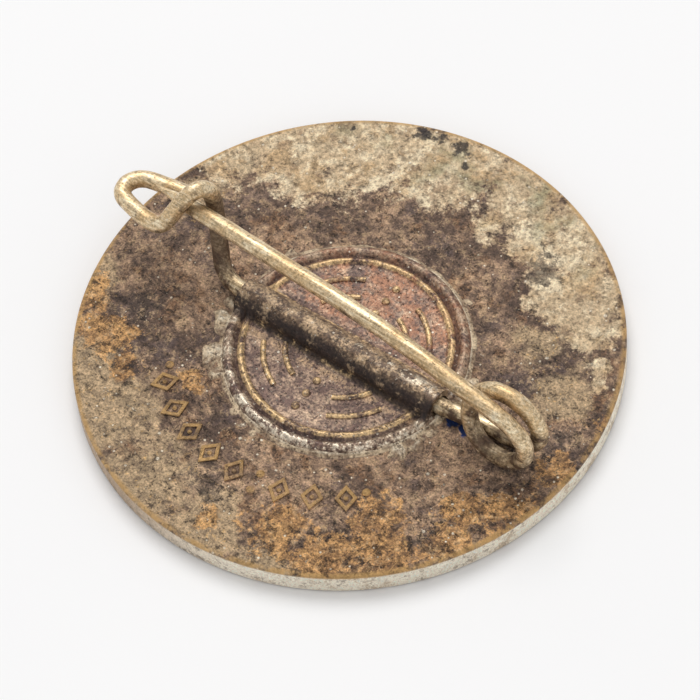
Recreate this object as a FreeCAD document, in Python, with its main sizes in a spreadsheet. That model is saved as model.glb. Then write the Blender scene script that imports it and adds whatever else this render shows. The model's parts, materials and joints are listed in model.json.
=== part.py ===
import FreeCAD, Part

import math
import os

import Sketcher
from FreeCAD import Placement, Rotation, Vector

# A round enamel badge seen as it is made: a struck metal disc whose front face has
# cells filled with enamel, and on its back a soldered plate whose barrel holds one
# length of spring wire. The wire stands up at one end as the catch, and at the other
# end it is wound into a coil and comes back over the disc as the needle.
#
# Frame, in millimetres: the origin is the middle of the front face, +Z runs through
# the disc to the pin side, and +X runs along the barrel from the catch to the coil.

SIZES = {
    "disc_radius": 12.5,
    "disc_thickness": 1.15,
    "disc_arris": 0.12,
    "cell_depth": 0.45,
    "cell_wall": 0.3,
    "border_outer": 11.7,
    "border_inner": 10.15,
    "field_outer": 9.8,
    "field_inner": 2.9,
    "petal_inner": 2.4,
    "petal_outer": 9.55,
    "petal_half_width": 1.45,
    "centre_radius": 2.0,
    "mark_radius": 8.3,
    "mark_length": 1.3,
    "mark_width": 0.85,
    "mark_height": 0.12,
    "mark_start": 232.0,
    "mark_span": 78.0,
    "plate_x": 0.24,
    "plate_y": -0.46,
    "plate_radius": 5.62,
    "plate_sheet": 0.23,
    "band_width": 0.6,
    "band_height": 0.36,
    "ring_radius": 4.75,
    "ring_width": 0.34,
    "ring_height": 0.3,
    "seam_width": 0.36,
    "seam_height": 0.2,
    "barrel_y": -0.75,
    "barrel_axis_height": 0.25,
    "barrel_radius": 0.85,
    "barrel_bore": 0.57,
    "barrel_left": -5.3,
    "barrel_right": 5.6,
    "wire_radius": 0.4,
    "wire_height": 1.56,
    "coil_x": 9.2,
    "coil_height": 3.25,
    "coil_radius": 1.68,
    "tip_length": 2.1,
    "tip_radius": 0.06,
}
PETALS = 8
MARKS = 9

doc = FreeCAD.newDocument("enamel_badge")
sheet = doc.addObject("Spreadsheet::Sheet", "Sizes")
for row, (alias, value) in enumerate(SIZES.items(), start=1):
    sheet.set(f"A{row}", alias)
    sheet.set(f"B{row}", str(value))
    sheet.setAlias(f"B{row}", alias)
doc.recompute()


def size(alias):
    """A driving dimension, read from the sheet."""
    return float(getattr(sheet, alias))


def bind(thing, **sizes):
    """Ties properties of an object to formulas in the sheet's names."""
    for prop, formula in sizes.items():
        for alias in sorted(SIZES, key=len, reverse=True):
            formula = formula.replace(f"<{alias}>", f"Sizes.{alias}")
        thing.setExpression(prop, formula)
    return thing


# ---------------------------------------------------------------- body and sketch helpers


def new_body(label, placement=None):
    body = doc.addObject("PartDesign::Body", label)
    body.Label = label
    if placement is not None:
        body.Placement = placement
    return body


def origin_part(body, role):
    return next(f for f in body.Origin.OriginFeatures if f.Role == role)


def new_sketch(body, name, plane="XY_Plane", lift=None):
    """A sketch on one of the body's own planes, lifted off it by a formula."""
    sketch = body.newObject("Sketcher::SketchObject", name)
    sketch.AttachmentSupport = [(origin_part(body, plane), "")]
    sketch.MapMode = "FlatFace"
    if lift:
        bind(sketch, **{"AttachmentOffset.Base.z": lift})
    return sketch


def circle(sketch, formula, x=0.0, y=0.0):
    """A circle whose radius follows the sheet."""
    start = Part.Circle(Vector(x, y, 0), Vector(0, 0, 1), 1.0)
    index = sketch.addGeometry(start, False)
    sketch.addConstraint(Sketcher.Constraint("DistanceX", index, 3, x))
    sketch.addConstraint(Sketcher.Constraint("DistanceY", index, 3, y))
    radius = sketch.addConstraint(Sketcher.Constraint("Radius", index, 1.0))
    bind(sketch, **{f"Constraints[{radius}]": formula})
    return index


def outline(sketch, edges):
    """A closed outline of lines and arcs that meet end to end."""
    for edge in edges:
        sketch.addGeometry(edge, False)


def pad(body, sketch, length):
    return bind_length(body.newObject("PartDesign::Pad", sketch.Name + "_pad"), sketch, length)


def bind_length(feature, sketch, length):
    feature.Profile = sketch
    bind(feature, Length=length)
    sketch.Visibility = False
    return feature


def cell(body, sketch):
    """A pocket sunk into the front face, so it cuts towards +Z."""
    pocket = body.newObject("PartDesign::Pocket", sketch.Name + "_cell")
    pocket.Reversed = True
    return bind_length(pocket, sketch, "<cell_depth>")


def around(body, feature, count, angle=360.0):
    """Repeats a feature about the body's Z axis."""
    pattern = body.newObject("PartDesign::PolarPattern", feature.Name + "_round")
    pattern.Originals = [feature]
    pattern.Axis = (origin_part(body, "Z_Axis"), [""])
    pattern.Angle = angle
    pattern.Occurrences = count
    body.Tip = pattern
    return pattern


# ---------------------------------------------------------------- outlines of the cells


def polar(radius, degrees):
    a = math.radians(degrees)
    return Vector(radius * math.cos(a), radius * math.sin(a), 0)


def arc(start, middle, end):
    return Part.Arc(start, middle, end)


def petal_side(extra, side, turn):
    """Centre and radius of one side of a petal that is turned about Z, grown by extra."""
    half_chord = (size("petal_outer") - size("petal_inner")) / 2
    rise = size("petal_half_width")
    radius = (half_chord**2 + rise**2) / (2 * rise)
    centre = Vector((size("petal_outer") + size("petal_inner")) / 2, -side * (radius - rise), 0)
    return Rotation(Vector(0, 0, 1), turn).multVec(centre), radius + extra


def petal_edges():
    """A leaf of two equal arcs, pointing along +X."""
    inner = Vector(size("petal_inner"), 0, 0)
    outer = Vector(size("petal_outer"), 0, 0)
    middle = (inner + outer) / 2
    bulge = Vector(0, size("petal_half_width"), 0)
    return [arc(inner, middle - bulge, outer), arc(outer, middle + bulge, inner)]


def meet(radius, centre, reach, towards):
    """Where the circle of that radius about the origin meets another, on the side given."""
    distance = centre.Length
    along = (radius**2 - reach**2 + distance**2) / (2 * distance)
    across = math.sqrt(radius**2 - along**2)
    unit = centre / distance
    normal = Vector(-unit.y, unit.x, 0)
    options = [unit * along + normal * across, unit * along - normal * across]
    return min(options, key=lambda p: (p - towards).Length)


def field_edges():
    """The ground between two petals: it widens from the middle out to the border."""
    half_turn = 180.0 / PETALS
    lower = petal_side(size("cell_wall"), 1, -half_turn)
    upper = petal_side(size("cell_wall"), -1, half_turn)
    outer_mid = Vector(size("field_outer"), 0, 0)
    inner_mid = Vector(size("field_inner"), 0, 0)
    corners = {}
    for name, (centre, reach) in {"lower": lower, "upper": upper}.items():
        corners[name] = (
            meet(size("field_inner"), centre, reach, inner_mid),
            meet(size("field_outer"), centre, reach, outer_mid),
        )

    def waist(side):
        centre, reach = side
        return centre + (Vector(5.9, 0, 0) - centre).normalize() * reach

    return [
        arc(corners["lower"][0], waist(lower), corners["lower"][1]),
        arc(corners["lower"][1], outer_mid, corners["upper"][1]),
        arc(corners["upper"][1], waist(upper), corners["upper"][0]),
        arc(corners["upper"][0], inner_mid, corners["lower"][0]),
    ]


def lozenge_edges(radius, length, width):
    """A diamond on +X with its long axis pointing outwards."""
    points = [
        Vector(radius - length / 2, 0, 0),
        Vector(radius, -width / 2, 0),
        Vector(radius + length / 2, 0, 0),
        Vector(radius, width / 2, 0),
    ]
    return [Part.LineSegment(a, b) for a, b in zip(points, points[1:] + points[:1])]


# ---------------------------------------------------------------- the struck disc

badge = new_body("badge_body")
blank = new_sketch(badge, "blank")
circle(blank, "<disc_radius>")
blank_pad = pad(badge, blank, "<disc_thickness>")
doc.recompute()
arris = badge.newObject("PartDesign::Fillet", "arris")
arris.Base = (blank_pad, ["Edge1", "Edge3"])
bind(arris, Radius="<disc_arris>")
doc.recompute()
solid_volume = badge.Shape.Volume

border_cell = new_sketch(badge, "border")
circle(border_cell, "<border_outer>")
circle(border_cell, "<border_inner>")
cell(badge, border_cell)
centre_cell = new_sketch(badge, "centre")
circle(centre_cell, "<centre_radius>")
cell(badge, centre_cell)
petal_cell = new_sketch(badge, "petal")
outline(petal_cell, petal_edges())
around(badge, cell(badge, petal_cell), PETALS)
field_cell = new_sketch(badge, "field")
outline(field_cell, [e.copy() for e in field_edges()])
field_cell.AttachmentOffset = Placement(Vector(), Rotation(Vector(0, 0, 1), 180.0 / PETALS))
around(badge, cell(badge, field_cell), PETALS)
doc.recompute()
cut_volume = solid_volume - badge.Shape.Volume

# A row of plain lozenges stands up from the back, along the lower edge.
mark = new_sketch(badge, "mark", lift="<disc_thickness>")
outline(mark, lozenge_edges(size("mark_radius"), size("mark_length"), size("mark_width")))
bind(mark, **{"AttachmentOffset.Rotation.Angle": "<mark_start>"})
around(badge, pad(badge, mark, "<mark_height>"), MARKS, size("mark_span"))
doc.recompute()


# ---------------------------------------------------------------- enamel


def enamel(label, draw, turn=0.0):
    """One fill of enamel, flush with the front face, turned about Z to its cell."""
    body = new_body(label, Placement(Vector(), Rotation(Vector(0, 0, 1), turn)))
    sketch = new_sketch(body, label + "_outline")
    draw(sketch)
    pad(body, sketch, "<cell_depth>")
    return body


def draw_border(sketch):
    circle(sketch, "<border_outer>")
    circle(sketch, "<border_inner>")


fills = [enamel("enamel_border", draw_border)]
fills.append(enamel("enamel_centre", lambda sketch: circle(sketch, "<centre_radius>")))
for n in range(PETALS):
    turn = 360.0 * n / PETALS
    fills.append(enamel(f"enamel_petal_{n + 1}", lambda s: outline(s, petal_edges()), turn))
    half = turn + 180.0 / PETALS
    fills.append(enamel(f"enamel_field_{n + 1}", lambda s: outline(s, field_edges()), half))
doc.recompute()
fill_volume = sum(body.Shape.Volume for body in fills)
if abs(cut_volume - fill_volume) > 0.01 * fill_volume:
    raise SystemExit(f"the cells hold {cut_volume:.2f} mm3 but the enamel is {fill_volume:.2f}")


# ---------------------------------------------------------------- plate, barrel and solder


def flat_line(*points):
    """A run of straight edges in a sketch from (radius, height) pairs."""
    corners = [Vector(x, y, 0) for x, y in points]
    return [Part.LineSegment(a, b) for a, b in zip(corners, corners[1:])]


def bump(start, height, end):
    """A rounded ridge in a sketch, from one foot over its crest to the other foot."""
    crest = Vector((start[0] + end[0]) / 2, height, 0)
    return Part.Arc(Vector(*start, 0), crest, Vector(*end, 0))


def plate_profile():
    """Half the section of the plate: a flat field, a thin raised ring, a groove, a round rim."""
    sheet_top = size("plate_sheet")
    rim = (size("plate_radius"), 0.0)
    rim_shoulder = (size("plate_radius"), sheet_top - 0.1)
    groove = (size("plate_radius") - size("band_width"), sheet_top)
    ring_out = (size("ring_radius") + size("ring_width") / 2, sheet_top)
    ring_in = (size("ring_radius") - size("ring_width") / 2, sheet_top)
    return (
        flat_line((0, 0), rim, rim_shoulder)
        + [bump(rim_shoulder, size("band_height"), groove)]
        + flat_line(groove, ring_out)
        + [bump(ring_out, size("ring_height"), ring_in)]
        + flat_line(ring_in, (0, sheet_top), (0, 0))
    )


def revolve(body, name, edges):
    sketch = new_sketch(body, name, plane="XZ_Plane")
    outline(sketch, edges)
    turned = body.newObject("PartDesign::Revolution", name + "_turned")
    turned.Profile = sketch
    turned.ReferenceAxis = (sketch, ["V_Axis"])
    turned.Angle = 360.0
    return turned


def arc_stroke(radius, width, middle, span):
    """A thin curved bar with square ends, centred on a bearing about the plate's middle."""
    low, high = middle - span / 2, middle + span / 2
    inner, outer = radius - width / 2, radius + width / 2
    return [
        arc(polar(outer, low), polar(outer, middle), polar(outer, high)),
        Part.LineSegment(polar(outer, high), polar(inner, high)),
        arc(polar(inner, high), polar(inner, middle), polar(inner, low)),
        Part.LineSegment(polar(inner, low), polar(outer, low)),
    ]


STROKE_WIDTH = 0.2
STROKE_LIFT = 0.09
plate_place = Placement(Vector(size("plate_x"), size("plate_y"), size("disc_thickness")), Rotation())
plate = new_body("plate", plate_place)
revolve(plate, "plate_section", plate_profile())
STROKE_BEARINGS = {"near_left": 228.0, "near_right": 312.0, "far_right": 48.0, "far_left": 132.0}
for side, bearing in STROKE_BEARINGS.items():
    for ring, radius in enumerate((3.75, 2.75)):
        strokes = new_sketch(plate, f"{side}_stroke_{ring}", lift="<plate_sheet>")
        outline(strokes, arc_stroke(radius, STROKE_WIDTH, bearing, 38.0))
        stroke_pad = plate.newObject("PartDesign::Pad", strokes.Name + "_pad")
        stroke_pad.Profile = strokes
        stroke_pad.Length = STROKE_LIFT

along_x = Rotation(Vector(0, 1, 0), 90)
channel_floor = size("disc_thickness")
barrel_axis = channel_floor + size("barrel_axis_height")


def half_round(name, radius, left, right, height):
    """A half-round bar along X, its flat side down."""
    bar = doc.addObject("Part::Cylinder", name)
    bar.Angle = 180.0
    bar.Placement = Placement(
        Vector(left, size("barrel_y"), height), along_x * Rotation(Vector(0, 0, 1), 90)
    )
    bind(bar, Radius=radius)
    bar.Height = right - left
    return bar


def wall_block(name, half_width, left, right, low, high):
    block = doc.addObject("Part::Box", name)
    block.Length = right - left
    block.Width = 2 * half_width
    block.Height = high - low
    block.Placement = Placement(Vector(left, size("barrel_y") - half_width, low), Rotation())
    return block


def fuse(name, *shapes):
    joined = doc.addObject("Part::MultiFuse", name)
    joined.Shapes = list(shapes)
    return joined


def cut(name, base, tool):
    result = doc.addObject("Part::Cut", name)
    result.Base = base
    result.Tool = tool
    return result


left, right = size("barrel_left"), size("barrel_right")
past = 1.5
barrel = fuse(
    "barrel",
    half_round("barrel_roof", "<barrel_radius>", left, right, barrel_axis),
    wall_block("barrel_walls", size("barrel_radius"), left, right, channel_floor, barrel_axis),
)
channel_top = barrel_axis + 0.05
channel = fuse(
    "channel",
    half_round("channel_roof", "<barrel_bore>", left - past, right + past, channel_top),
    wall_block(
        "channel_walls", size("barrel_bore"), left - past, right + past,
        channel_floor - 1.0, channel_top,
    ),
)
solder_plate = cut("solder_plate", fuse("plate_and_barrel", plate, barrel), channel)
solder_plate.Label = "solder_plate"

# Solder runs in a thin hollow fillet round the plate, with a few lumps on it.
LUMPS = [  # bearing about the plate in degrees, how far out, length, width, height
    (196.0, 5.98, 0.42, 0.3, 0.26),
    (221.0, 5.95, 0.5, 0.36, 0.3),
    (332.0, 5.95, 0.62, 0.4, 0.3),
    (8.0, 5.92, 0.6, 0.3, 0.24),
    (150.0, 5.9, 0.4, 0.26, 0.2),
]
seam = new_body("seam", plate_place)
foot, brow = size("seam_width"), size("seam_height")
radius = size("plate_radius")
toe = Vector(radius + foot, 0, 0)
hollow = Vector(radius + 0.35 * foot, 0.3 * brow, 0)
crown = Vector(radius, brow, 0)
revolve(
    seam,
    "seam_section",
    flat_line((radius, 0), (radius + foot, 0))
    + [Part.Arc(toe, hollow, crown)]
    + flat_line((radius, brow), (radius, 0)),
)
lumps = []
for number, (bearing, out, length, width, height) in enumerate(LUMPS):
    lump = doc.addObject("Part::Ellipsoid", f"lump_{number}")
    lump.Radius1 = height
    lump.Radius2 = width
    lump.Radius3 = length
    lump.Placement = plate_place.multiply(
        Placement(polar(out, bearing), Rotation(Vector(0, 0, 1), bearing))
    )
    lumps.append(lump)
under = doc.addObject("Part::Box", "under_the_lumps")
under.Length, under.Width, under.Height = 20, 20, 1
under.Placement = Placement(Vector(-10, -10, channel_floor - 1), Rotation())
plate_blank = doc.addObject("Part::Cylinder", "plate_blank")
bind(plate_blank, Radius="<plate_radius>")
plate_blank.Height = 3
plate_blank.Placement = Placement(plate_place.Base - Vector(0, 0, 1), Rotation())
solder_seam = cut(
    "solder_seam",
    fuse("seam_and_lumps", seam, *lumps),
    fuse("kept_clear", under, plate_blank, channel),
)
solder_seam.Label = "solder_seam"


# ---------------------------------------------------------------- the spring wire


def bent(points, share=0.45):
    """Straight runs joined by tangent arcs: each arc takes a share of its shorter run."""
    corners = [Vector(*p) for p in points]
    edges, start = [], corners[0]
    for before, corner, after in zip(corners, corners[1:], corners[2:]):
        into, out = before - corner, after - corner
        reach = share * min(into.Length, out.Length)
        into.normalize()
        out.normalize()
        turn = math.pi - into.getAngle(out)
        radius = reach / math.tan(turn / 2)
        first, last = corner + into * reach, corner + out * reach
        inward = (into + out).normalize()
        middle = corner + inward * (radius / math.cos(turn / 2) - radius)
        edges.append(Part.LineSegment(start, first).toShape())
        edges.append(Part.Arc(first, middle, last).toShape())
        start = last
    edges.append(Part.LineSegment(start, corners[-1]).toShape())
    return Part.Wire(edges)


def wire_piece(label, points):
    """A length of round wire swept along a bent path, with its volume checked."""
    path = doc.addObject("Part::Feature", label + "_path")
    path.Shape = bent(points)
    start, towards = Vector(*points[0]), Vector(*points[1]) - Vector(*points[0])
    section = doc.addObject("Part::Circle", label + "_section")
    bind(section, Radius="<wire_radius>")
    section.Placement = Placement(start, Rotation(Vector(0, 0, 1), towards))
    swept = doc.addObject("Part::Sweep", label)
    swept.Sections = [section]
    swept.Spine = (path, [f"Edge{n + 1}" for n in range(len(path.Shape.Edges))])
    swept.Solid = True
    swept.Frenet = False
    doc.recompute()
    expected = math.pi * size("wire_radius") ** 2 * path.Shape.Length
    share = swept.Shape.Volume / expected
    print(f"{label}: {path.Shape.Length:.1f} mm of wire, volume {share:.4f} of expected")
    return swept


bar_end = (5.75, size("barrel_y"), size("wire_height"))
CATCH_ROUTE = [
    bar_end,
    (-5.75, size("barrel_y"), size("wire_height")),
    (-6.75, -0.42, 1.88),
    (-7.1, 0.0, 2.75),
    (-7.45, 0.4, 3.9),
    (-7.72, 0.7, 5.2),
    (-7.85, 0.6, 6.05),
    (-8.1, 0.05, 6.45),
    (-8.4, -0.55, 6.1),
    (-8.75, -1.05, 5.3),
    (-9.1, -1.45, 4.6),
    (-9.9, -1.45, 4.35),
    (-11.0, -1.25, 4.4),
    (-11.85, -1.0, 4.4),
    (-12.08, -0.4, 4.4),
    (-11.75, 0.2, 4.4),
    (-11.0, 0.5, 4.4),
    (-9.2, 0.72, 4.4),
]
catch_wire = wire_piece("catch_wire", CATCH_ROUTE)

FIRST_TURN_Y = -0.38
SECOND_TURN_Y = -1.48
COIL_START, COIL_END = -90.0, 439.0
SIDES = 8


def coil_y(angle):
    """The first turn lies in one plane, the second beside it, with the step on the left."""
    share = min(max((angle - 90.0) / 180.0, 0.0), 1.0)
    ease = share * share * (3 - 2 * share)
    return FIRST_TURN_Y + (SECOND_TURN_Y - FIRST_TURN_Y) * ease


def coil_point(angle, radius):
    a = math.radians(angle)
    x = size("coil_x") + radius * math.cos(a)
    return (x, coil_y(angle), size("coil_height") + radius * math.sin(a))


corner_radius = size("coil_radius") / math.cos(math.pi / SIDES)
coil_route = [bar_end, (7.4, -0.5, size("coil_height") - size("coil_radius"))]
angle = COIL_START + 180.0 / SIDES
while angle < COIL_END - 10.0:
    coil_route.append(coil_point(angle, corner_radius))
    angle += 360.0 / SIDES
coil_end = coil_point(COIL_END, size("coil_radius"))
coil_route.append(coil_end)
spring_coil = wire_piece("spring_coil", coil_route)

ROOT_GAP = 0.05
taper_start = Vector(-8.4, -0.19, 5.2)
needle_route = [
    (coil_end[0] - ROOT_GAP, coil_end[1], coil_end[2] + 0.01),
    (6.9, -1.31, 5.32),
    (4.0, -1.1, 5.7),
    (0.6, -0.85, 5.73),
    (-5.2, -0.42, 5.42),
    tuple(taper_start),
]
shank = wire_piece("needle_shank", needle_route)
last_run = (taper_start - Vector(*needle_route[-2])).normalize()
point = doc.addObject("Part::Cone", "needle_point")
bind(point, Radius1="<wire_radius>", Radius2="<tip_radius>", Height="<tip_length>")
point.Placement = Placement(taper_start, Rotation(Vector(0, 0, 1), last_run))
needle = fuse("needle", shank, point)
needle.Label = "needle"
doc.recompute()

# ---------------------------------------------------------------- check and export

pieces = [badge, *fills, solder_plate, solder_seam, catch_wire, spring_coil, needle]
for thing in doc.Objects:
    if "Invalid" in thing.State or "Error" in thing.State:
        raise SystemExit(f"{thing.Name} failed: {thing.State}")
os.makedirs("parts", exist_ok=True)
for piece in pieces:
    shape = piece.Shape
    if shape.isNull() or not shape.isValid() or not shape.Solids:
        raise SystemExit(f"{piece.Label} has no sound solid")
    shape.exportStep(f"parts/{piece.Label}.step")
    print(f"{piece.Label}: {len(shape.Solids)} solid, {shape.Volume:.2f} mm3")
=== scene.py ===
# %% [markdown]
# # A struck enamel badge, seen from its pin side
# The badge is a metal disc with enamel on its front. It lies face down, so what shows is the
# back: dark patina, a soldered plate with a barrel, and one length of brass wire that is catch,
# spring coil and needle in turn. The CAD frame gives every size and place. It is loaded first,
# because each piece below stands where a CAD part stands, and moves with the same body.

# %% Load the frame
import json
import math

import bpy
from mathutils import Matrix, Vector, noise


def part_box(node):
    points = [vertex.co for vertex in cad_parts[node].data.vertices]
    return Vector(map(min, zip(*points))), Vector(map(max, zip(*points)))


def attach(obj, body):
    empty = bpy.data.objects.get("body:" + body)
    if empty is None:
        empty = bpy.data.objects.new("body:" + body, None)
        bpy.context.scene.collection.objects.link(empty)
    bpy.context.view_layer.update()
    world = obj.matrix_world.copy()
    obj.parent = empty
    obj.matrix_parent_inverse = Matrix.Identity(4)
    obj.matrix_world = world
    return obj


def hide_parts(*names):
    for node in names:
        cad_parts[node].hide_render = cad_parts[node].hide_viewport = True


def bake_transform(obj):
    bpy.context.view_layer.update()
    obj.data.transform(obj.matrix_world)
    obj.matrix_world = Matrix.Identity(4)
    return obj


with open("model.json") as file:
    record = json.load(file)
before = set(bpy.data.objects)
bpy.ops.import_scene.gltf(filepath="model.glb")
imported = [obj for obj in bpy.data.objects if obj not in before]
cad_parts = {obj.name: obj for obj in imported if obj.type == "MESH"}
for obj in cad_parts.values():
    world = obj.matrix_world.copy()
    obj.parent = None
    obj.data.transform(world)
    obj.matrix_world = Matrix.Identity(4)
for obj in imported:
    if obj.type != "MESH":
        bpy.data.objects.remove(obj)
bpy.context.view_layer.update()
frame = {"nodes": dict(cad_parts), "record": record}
MM = 0.001

# %% [markdown]
# Blender's edit tools join points that are closer than a tenth of a unit or so, which on a badge
# a few centimetres wide would join real details. So each piece is modelled with one unit for one
# millimetre, and its mesh is shrunk to metres as the last step. The sizes are read off the CAD
# nodes' boxes, so that the pieces and the frame can't drift apart.

# %% Sizes, in millimetres, from the frame


def node_box(node):
    """Lowest and highest corner of a CAD node, in millimetres."""
    low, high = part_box(node)
    return Vector(low) / MM, Vector(high) / MM


fill_top = node_box("enamel_border")[1].z
disc_radius = node_box("badge_body")[1].x
plate_low, plate_high = node_box("solder_plate")
back = plate_low.z
plate_middle = (plate_low + plate_high) / 2
plate_radius = (plate_high.y - plate_low.y) / 2
wire_radius = 0.4
barrel_y, barrel_outer, barrel_inner = -0.75, 0.85, 0.55
barrel_left, barrel_right = -5.3, 5.6
barrel_axis = back + 0.25
print(f"disc {disc_radius:.2f}, back face {back:.2f}, plate {plate_radius:.2f} at {plate_middle.to_2d()}")

# %% [markdown]
# Four small helpers cover the modelling. `alone` empties the selection, since an operator works
# on all that is selected. `edit` runs a few edit-mode steps. `press_on` applies a modifier, so that
# the finished mesh is real. `place` shrinks a piece to metres, gives it its finish and hands it
# to the body that it moves with.

# %% Modelling helpers


def alone(piece):
    bpy.ops.object.select_all(action="DESELECT")
    piece.select_set(True)
    bpy.context.view_layer.objects.active = piece
    return piece


def edit(piece, *steps):
    """Runs steps in edit mode, each on everything unless it selects for itself."""
    alone(piece)
    bpy.ops.object.mode_set(mode="EDIT")
    bpy.ops.mesh.select_all(action="SELECT")
    for step in steps:
        step()
    bpy.ops.object.mode_set(mode="OBJECT")
    return piece


def press_on(piece, kind, **settings):
    """Adds a modifier with its settings and applies it."""
    alone(piece)
    modifier = piece.modifiers.new(kind.lower(), kind)
    for name, value in settings.items():
        setattr(modifier, name, value)
    bpy.ops.object.modifier_apply(modifier=modifier.name)
    return piece


def named(name):
    piece = bpy.context.active_object
    piece.name = piece.data.name = name
    return piece


def join(name, pieces):
    bpy.ops.object.select_all(action="DESELECT")
    for piece in pieces:
        piece.select_set(True)
    bpy.context.view_layer.objects.active = pieces[0]
    bpy.ops.object.join()
    return named(name)


def merge_and_face_out():
    bpy.ops.mesh.remove_doubles(threshold=0.0005)
    bpy.ops.mesh.normals_make_consistent(inside=False)


def place(piece, finish, body="badge", smooth=math.radians(38)):
    alone(piece)
    bpy.ops.object.transform_apply(location=True, rotation=True, scale=True)
    piece.data.transform(Matrix.Scale(MM, 4))
    piece.data.materials.clear()
    piece.data.materials.append(finish)
    bpy.ops.object.shade_smooth_by_angle(angle=smooth)
    if body:
        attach(piece, body)
    print(f"{piece.name}: {len(piece.data.polygons)} faces")
    return piece


# %% [markdown]
# Round things that are turned or struck from round stock come from a profile that is spun about
# the axis. The profile is a list of radius and height pairs. A spin is better than a cylinder
# here, because the rows of faces can sit closer together where the metal is worked more.

# %% Spin a profile


def spun(name, profile, steps, closed=True):
    """A profile of (radius, height) pairs in the XZ plane, spun once about Z."""
    mesh = bpy.data.meshes.new(name)
    loop = [(i, i + 1) for i in range(len(profile) - 1)]
    if closed:
        loop.append((len(profile) - 1, 0))
    mesh.from_pydata([(r, 0, z) for r, z in profile], loop, [])
    piece = bpy.data.objects.new(name, mesh)
    bpy.context.scene.collection.objects.link(piece)
    whole = dict(steps=steps, angle=2 * math.pi, center=(0, 0, 0), axis=(0, 0, 1))
    return edit(piece, lambda: bpy.ops.mesh.spin(**whole), merge_and_face_out)


# %% [markdown]
# ## How the finishes are written
# Old metal is many layers: clean brass where fingers rub, brown oxide, pale dirt, specks. Each
# layer is a mask, and masks are sums, so the shader maths is written as Python. `Term` wraps a
# socket and turns +, -, * and / into Math nodes. `Finish.node` makes every other node: it takes
# the type, the settings, which are set first, and the values or links of the sockets.

# %% Terms and finishes


class Term:
    """A shader socket that can be added, subtracted, multiplied and divided."""

    def __init__(self, finish, socket):
        self.finish = finish
        self.socket = socket

    def math(self, operation, *values):
        return self.finish.node("ShaderNodeMath", values, operation=operation)

    def __add__(self, other):
        return self.math("ADD", self, other)

    def __radd__(self, other):
        return self.math("ADD", other, self)

    def __sub__(self, other):
        return self.math("SUBTRACT", self, other)

    def __rsub__(self, other):
        return self.math("SUBTRACT", other, self)

    def __mul__(self, other):
        return self.math("MULTIPLY", self, other)

    def __rmul__(self, other):
        return self.math("MULTIPLY", other, self)

    def __truediv__(self, other):
        return self.math("DIVIDE", self, other)

    def most(self, other):
        return self.math("MAXIMUM", self, other)

    def least(self, other):
        return self.math("MINIMUM", self, other)

    def rise(self, low, high):
        """0 up to low and 1 from high, with a soft step between; low may be above high."""
        if low > high:
            return 1 - self.rise(high, low)
        return self.finish.node(
            "ShaderNodeMapRange", {0: self, 1: low, 2: high}, interpolation_type="SMOOTHSTEP"
        )


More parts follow.
